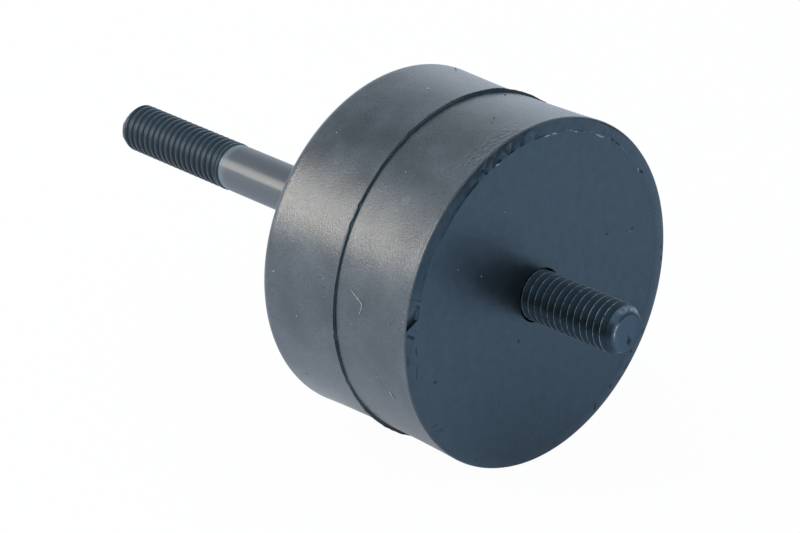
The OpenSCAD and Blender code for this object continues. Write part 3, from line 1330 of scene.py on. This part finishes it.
def lay_floor(scene):
    """A pale floor that takes a shadow, and that is nearly plain white as the camera sees it."""
    stage = scene.mount_stage
    bpy.ops.mesh.primitive_plane_add(size=stage.floor, location=(0, 0, BLOCK_LOW.z))
    floor = bpy.context.object
    floor.name = "floor"
    material, tree = new_material("pale_floor")
    lit = add_node(tree, "BsdfDiffuse", {"Color": scene.mount_finish.floor}).outputs[0]
    white = add_node(tree, "Emission", {"Color": WHITE, "Strength": 1.0}).outputs[0]
    seen = ray_share(tree, SEEN, stage.white)
    mirrored = ray_share(tree, MIRRORED, stage.mirrored)
    share = add_node(tree, "Math", {0: seen, 1: mirrored}, operation="MAXIMUM").outputs[0]
    mixed = add_node(tree, "MixShader", {0: share, 1: lit, 2: white})
    add_node(tree, "OutputMaterial", {"Surface": mixed.outputs[0]})
    floor.data.materials.append(material)


def light_room(scene):
    """Cool light from all round, dim overhead where it is mirrored, and a white background."""
    stage = scene.mount_stage
    scene.world = bpy.data.worlds.new("studio")
    scene.world.use_nodes = True
    tree = scene.world.node_tree
    tree.nodes.clear()
    towards = add_node(tree, "TexCoord").outputs["Generated"]
    height = add_node(tree, "SeparateXYZ", {0: towards}).outputs["Z"]
    tent = spread(tree, height, 0.42, 0.78, stage.tent, stage.ceiling)
    level, mirrored, white = [
        add_node(tree, "Background", {"Strength": strength, "Color": colour}).outputs[0]
        for strength, colour in ((stage.level, stage.cool), (tent, stage.cool), (1.0, WHITE))
    ]
    share = ray_share(tree, MIRRORED, 1.0)
    light = add_node(tree, "MixShader", {0: share, 1: level, 2: mirrored}).outputs[0]
    share = ray_share(tree, SEEN, 1.0)
    mixed = add_node(tree, "MixShader", {0: share, 1: light, 2: white})
    add_node(tree, "OutputWorld", {"Surface": mixed.outputs[0]})


def hang_lamp(stage):
    """A warm, tall softbox on the left, which makes the highlight along the rubber's side."""
    side = Vector((-math.sin(stage.lamp_turn), -math.cos(stage.lamp_turn), 0))
    towards = side * math.cos(stage.lamp_tilt) + Vector((0, 0, math.sin(stage.lamp_tilt)))
    middle = Vector((REAR_X / 2, 0, 0))
    bpy.ops.object.light_add(type="AREA", location=middle + towards * stage.lamp_distance)
    lamp = bpy.context.object
    lamp.name = "left_softbox"
    lamp.data.shape = "RECTANGLE"
    lamp.data.size = stage.lamp_width
    lamp.data.size_y = stage.lamp_height
    lamp.data.energy = stage.lamp_power
    lamp.data.color = stage.lamp_colour
    lamp.rotation_euler = towards.to_track_quat("Z", "Y").to_euler()


def set_camera(scene):
    """Looks at the front face from its left and from above."""
    stage = scene.mount_stage
    turn, tilt = stage.azimuth, stage.elevation
    right = Vector((math.cos(turn), math.sin(turn), 0))
    back = Vector((math.sin(turn) * math.cos(tilt), -math.cos(turn) * math.cos(tilt), math.sin(tilt)))
    up = back.cross(right)
    place = back * stage.distance - right * stage.aside + up * stage.above
    bpy.ops.object.camera_add(location=place, rotation=(math.pi / 2 - tilt, 0, turn))
    scene.camera = bpy.context.object
    scene.camera.data.lens = stage.lens


class MOUNT_OT_stage(bpy.types.Operator):
    """Sets the floor, the studio light and the camera"""

    bl_idname = "mount.stage"
    bl_label = "Stage"

    def execute(self, context):
        scene = context.scene
        lay_floor(scene)
        light_room(scene)
        hang_lamp(scene.mount_stage)
        set_camera(scene)
        scene.view_settings.view_transform = "Standard"
        return {"FINISHED"}


class MOUNT_PT_panel(bpy.types.Panel):
    """Lists the pieces of the mount"""

    bl_idname = "MOUNT_PT_panel"
    bl_label = "Engine mount"
    bl_space_type = "VIEW_3D"
    bl_region_type = "UI"
    bl_category = "Mount"

    def draw(self, context):
        for operator in OPERATORS:
            self.layout.operator(operator.bl_idname)


OPERATORS = (
    MOUNT_OT_rubber_block,
    MOUNT_OT_end_plates,
    MOUNT_OT_front_stud,
    MOUNT_OT_rear_stud,
    MOUNT_OT_lint,
    MOUNT_OT_stage,
)
GROUPS = {
    "mount_block": BlockSettings,
    "mount_plate": PlateSettings,
    "mount_stud": StudSettings,
    "mount_finish": FinishSettings,
    "mount_stage": StageSettings,
}


def register():
    """Registers the settings, the operators and the panel."""
    for name, group in GROUPS.items():
        bpy.utils.register_class(group)
        setattr(bpy.types.Scene, name, PointerProperty(type=group))
    for operator in OPERATORS:
        bpy.utils.register_class(operator)
    bpy.utils.register_class(MOUNT_PT_panel)


def unregister():
    """Takes out what register added."""
    bpy.utils.unregister_class(MOUNT_PT_panel)
    for operator in reversed(OPERATORS):
        bpy.utils.unregister_class(operator)
    for name, group in GROUPS.items():
        delattr(bpy.types.Scene, name)
        bpy.utils.unregister_class(group)


def main():
    """Makes every piece in order."""
    register()
    bpy.ops.mount.rubber_block()
    bpy.ops.mount.end_plates()
    bpy.ops.mount.front_stud()
    bpy.ops.mount.rear_stud()
    bpy.ops.mount.lint()
    bpy.ops.mount.stage()


if __name__ == "__main__":
    main()
